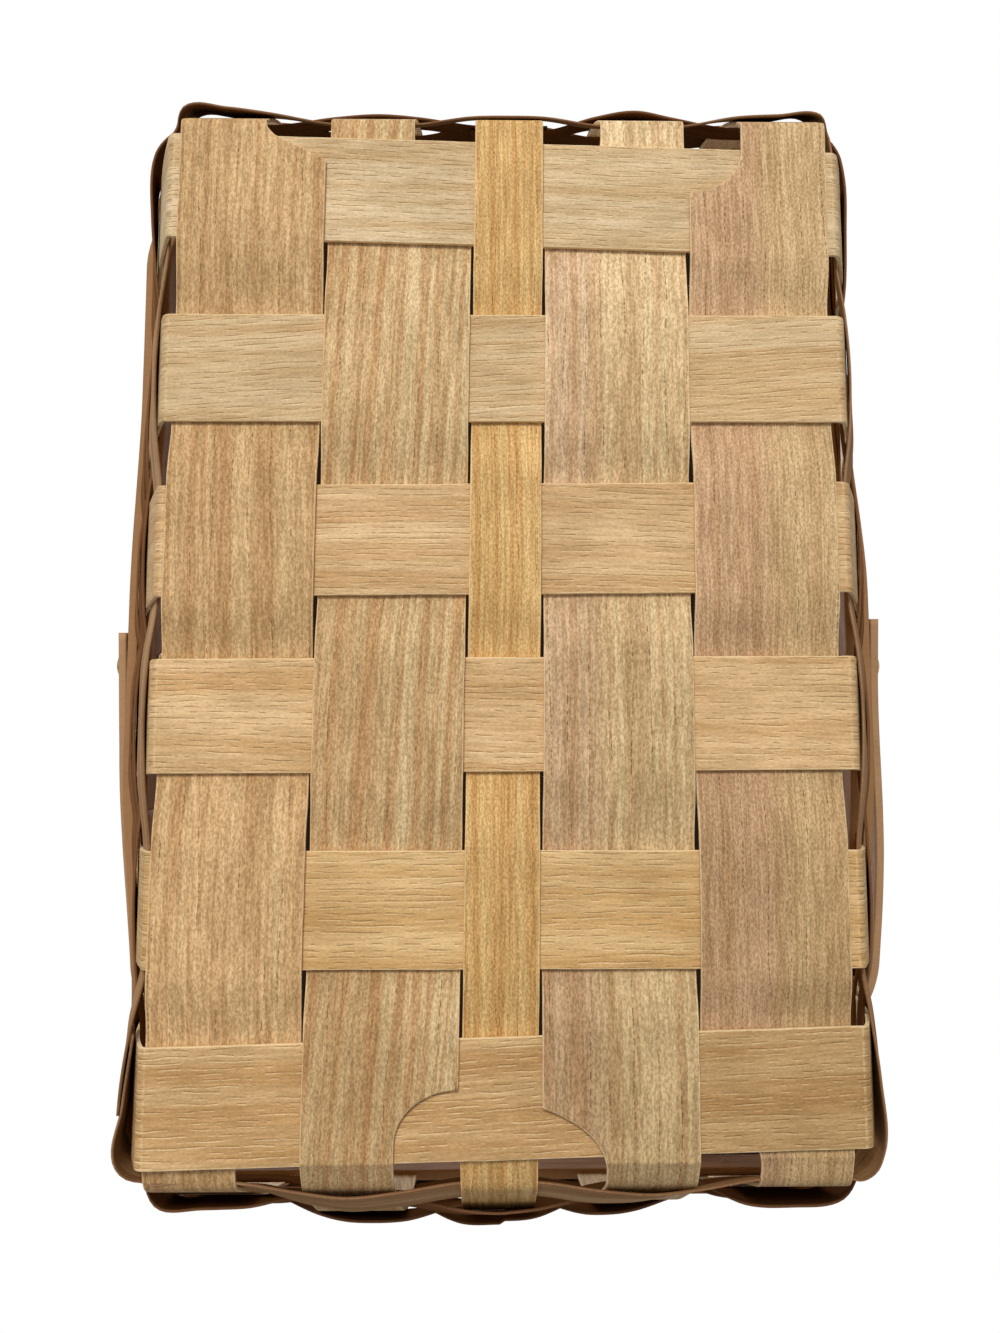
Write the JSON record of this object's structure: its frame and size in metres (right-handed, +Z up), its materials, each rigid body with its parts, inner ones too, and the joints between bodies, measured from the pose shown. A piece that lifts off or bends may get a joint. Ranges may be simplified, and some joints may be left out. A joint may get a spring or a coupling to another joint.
{
  "type": "rectangular splint basket with swinging handle",
  "caption": "Rectangular open basket of woven wood splints with flared walls, a double rim and a bentwood handle that swings on two rivets",
  "frame": {"origin": "middle of the base on its underside, the lowest faces of the splints", "axes": "+Z up out of the basket, X along its length, Y across it; the handle lies folded towards -X"},
  "size_m": [0.4392, 0.336, 0.1593],
  "materials": {
    "lengthwise_wood": "bare planed hardwood strip, fine grain along it",
    "cross_wood": "bare planed hardwood strip, lighter, with short ray flecks",
    "weaver_wood": "thin bare strip, darker and warmer",
    "rim_wood": "bentwood band, satin",
    "handle_wood": "bentwood, worn satin",
    "pivot_brass": "plain turned",
    "tack_steel": "plain"
  },
  "bodies": {
    "basket": {"lengthwise_splint_1": "lengthwise_wood", "lengthwise_splint_2": "lengthwise_wood", "lengthwise_splint_3": "lengthwise_wood", "lengthwise_splint_4": "lengthwise_wood", "lengthwise_splint_5": "lengthwise_wood", "cross_splint_1": "cross_wood", "cross_splint_2": "cross_wood", "cross_splint_3": "cross_wood", "cross_splint_4": "cross_wood", "cross_splint_5": "cross_wood", "cross_splint_6": "cross_wood", "weaver_row_1": "weaver_wood", "weaver_row_2": "weaver_wood", "weaver_row_3": "weaver_wood", "weaver_row_4": "weaver_wood", "weaver_row_5": "weaver_wood", "rim_outer_band": "rim_wood", "rim_inner_band": "rim_wood", "rim_tack_1": "tack_steel", "rim_tack_2": "tack_steel", "rim_tack_3": "tack_steel", "rim_tack_4": "tack_steel", "rim_tack_5": "tack_steel", "rim_tack_6": "tack_steel", "rim_tack_7": "tack_steel", "rim_tack_8": "tack_steel", "rim_tack_9": "tack_steel", "rim_tack_10": "tack_steel", "rim_tack_11": "tack_steel", "rim_tack_12": "tack_steel", "rim_tack_13": "tack_steel", "rim_tack_14": "tack_steel", "rim_tack_15": "tack_steel", "rim_tack_16": "tack_steel", "rim_tack_17": "tack_steel", "rim_tack_18": "tack_steel", "rim_tack_19": "tack_steel", "rim_tack_20": "tack_steel", "rim_tack_21": "tack_steel", "rim_tack_22": "tack_steel", "left_handle_rivet": "pivot_brass", "left_handle_washer": "pivot_brass", "left_rivet_burr": "pivot_brass", "right_handle_rivet": "pivot_brass", "right_handle_washer": "pivot_brass", "right_rivet_burr": "pivot_brass"},
    "handle": {"swing_handle": "handle_wood"}
  },
  "joints": [
    {"name": "handle_swing", "type": "hinge", "parent": "basket", "child": "handle", "pos_m": [0.00045, 0, 0.122], "axis": [0, 1, 0], "range_deg": [0, 160]}
  ]
}
